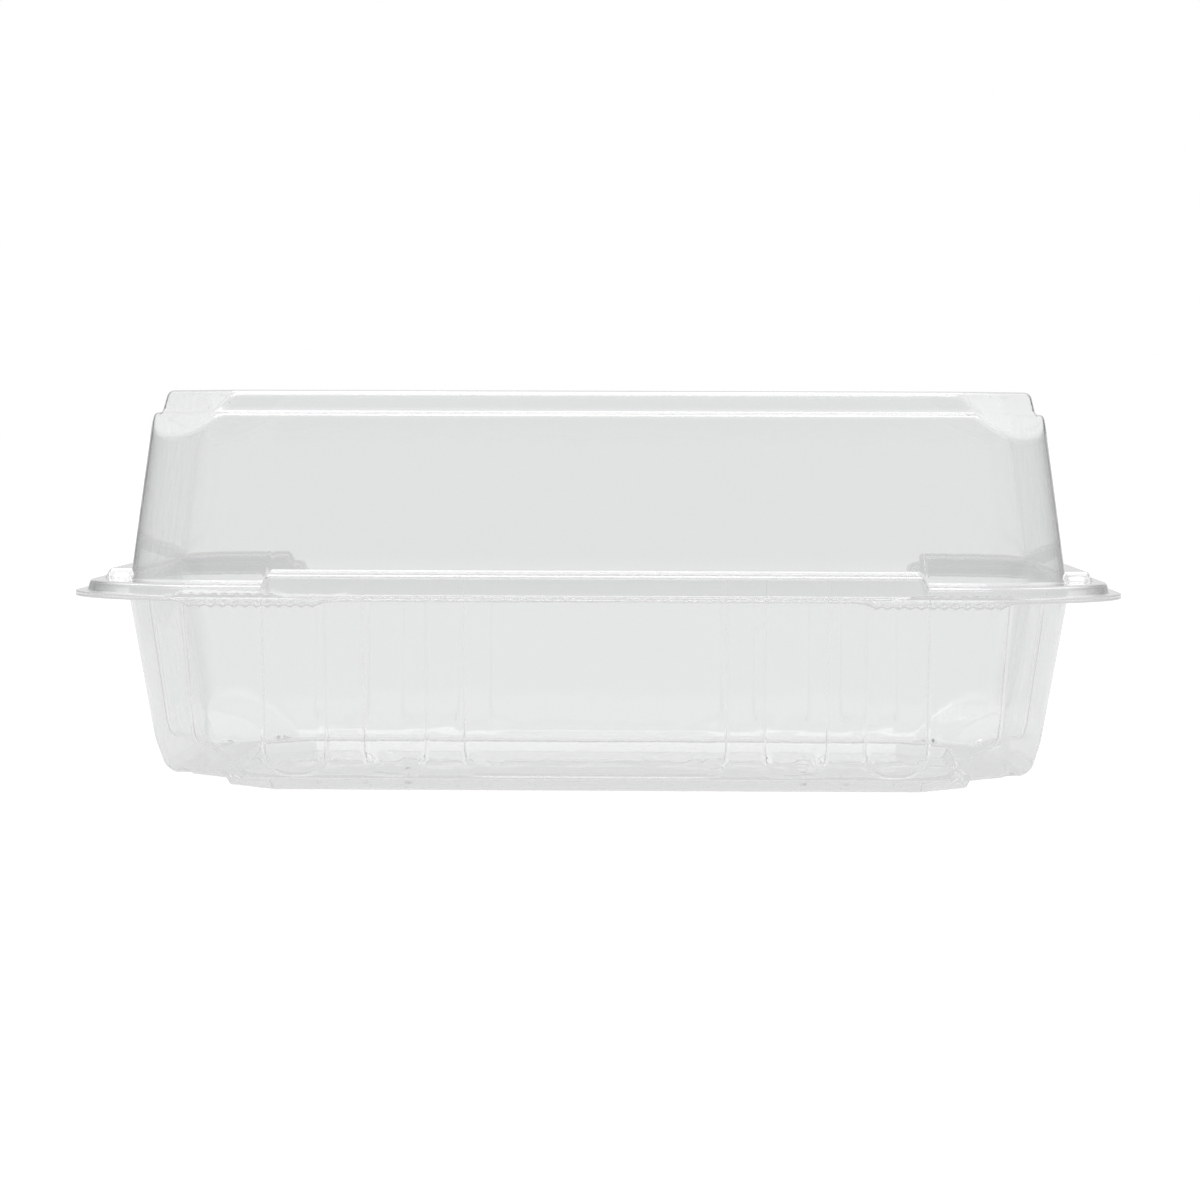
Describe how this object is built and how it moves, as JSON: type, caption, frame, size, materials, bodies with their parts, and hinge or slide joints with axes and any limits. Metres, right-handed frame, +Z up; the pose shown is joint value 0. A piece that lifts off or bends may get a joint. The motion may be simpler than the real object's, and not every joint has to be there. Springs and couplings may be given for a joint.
{
  "type": "clear hinged clamshell food pack",
  "caption": "Clear hinged clamshell pack: a tapered tray with wall panels and a flanged rim, and a lid with scooped corners that snaps over the rim and folds back along one edge.",
  "frame": {"origin": "centre of the footprint on the table, under the closed pack", "axes": "+X along the long side to the right, +Y towards the fold at the back, +Z up"},
  "size_m": [0.2352, 0.1508, 0.0897],
  "materials": {
    "clear_sheet": "clear glossy formed PET sheet"
  },
  "bodies": {
    "tray": {"base": "clear_sheet"},
    "cover": {"lid": "clear_sheet"}
  },
  "joints": [
    {"name": "lid_hinge", "type": "hinge", "parent": "tray", "child": "cover", "pos_m": [0, 0.0754, 0.0442], "axis": [-1, 0, 0], "range_deg": [0, 175]}
  ]
}
